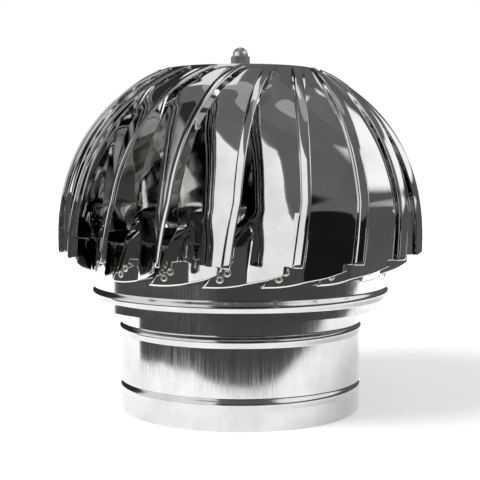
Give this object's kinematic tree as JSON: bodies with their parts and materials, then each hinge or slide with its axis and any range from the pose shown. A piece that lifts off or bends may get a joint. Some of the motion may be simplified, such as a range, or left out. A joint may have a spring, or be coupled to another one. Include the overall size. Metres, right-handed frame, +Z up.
{
  "type": "roof turbine ventilator",
  "caption": "Wind-driven domed turbine head with overlapping curved blades, turning on a bearing shaft above a twin-wall flue spigot with swaged beads.",
  "frame": {"origin": "on the shaft axis, in the plane of the spigot's lower rim, which the part stands on", "axes": "+Z up along the shaft towards the acorn nut; X and Y are the plan directions, with one support arm towards +Y"},
  "size_m": [0.3742, 0.3766, 0.3733],
  "materials": {
    "base_steel": "bright-annealed stainless sheet, light streaks",
    "sheet_steel": "bright stainless sheet",
    "blade_steel": "mirror-polished stainless sheet",
    "support_steel": "plain stainless",
    "black_plastic": "matte black cap",
    "spring_steel": "phosphated spring steel",
    "bearing_steel": "ground bearing steel",
    "cage_polyamide": "natural polyamide",
    "seal_rubber": "nitrile rubber",
    "fastener_steel": "bright stainless"
  },
  "bodies": {
    "base": {"spigot_pipe": "base_steel", "collar": "base_steel", "shoulder_cover": "sheet_steel", "support_arm_1": "support_steel", "support_arm_2": "support_steel", "support_arm_3": "support_steel", "hub_plate": "support_steel", "arm_screws": "fastener_steel", "bearing_housing": "support_steel", "bearing_cap": "black_plastic", "upper_housing_circlip": "spring_steel", "lower_housing_circlip": "spring_steel", "upper_outer_ring": "bearing_steel", "lower_outer_ring": "bearing_steel", "upper_bearing_seals": "seal_rubber", "lower_bearing_seals": "seal_rubber"},
    "rotor": {"shaft": "fastener_steel", "shaft_circlip": "spring_steel", "upper_inner_ring": "bearing_steel", "lower_inner_ring": "bearing_steel", "lower_clamp_washer": "fastener_steel", "upper_clamp_washer": "fastener_steel", "spring_washer": "spring_steel", "acorn_nut": "fastener_steel", "top_disc": "sheet_steel", "bottom_ring": "sheet_steel", "blade_01": "blade_steel", "blade_02": "blade_steel", "blade_03": "blade_steel", "blade_04": "blade_steel", "blade_05": "blade_steel", "blade_06": "blade_steel", "blade_07": "blade_steel", "blade_08": "blade_steel", "blade_09": "blade_steel", "blade_10": "blade_steel", "blade_11": "blade_steel", "blade_12": "blade_steel", "blade_13": "blade_steel", "blade_14": "blade_steel", "blade_15": "blade_steel", "blade_16": "blade_steel", "blade_17": "blade_steel", "blade_18": "blade_steel"},
    "upper_cage": {"upper_bearing_balls": "bearing_steel", "upper_bearing_cage": "cage_polyamide"},
    "lower_cage": {"lower_bearing_balls": "bearing_steel", "lower_bearing_cage": "cage_polyamide"}
  },
  "joints": [
    {"name": "rotor_spin", "type": "hinge", "parent": "base", "child": "rotor", "pos_m": [0, 0, 0.2], "axis": [0, 0, 1], "continuous": true},
    {"name": "upper_cage_spin", "type": "hinge", "parent": "base", "child": "upper_cage", "pos_m": [0, 0, 0.26], "axis": [0, 0, 1], "continuous": true},
    {"name": "lower_cage_spin", "type": "hinge", "parent": "base", "child": "lower_cage", "pos_m": [0, 0, 0.13], "axis": [0, 0, 1], "continuous": true}
  ],
  "couplings": [
    {"joint": "upper_cage_spin", "follows": "rotor_spin", "ratio": 0.36477},
    {"joint": "lower_cage_spin", "follows": "rotor_spin", "ratio": 0.36477}
  ]
}
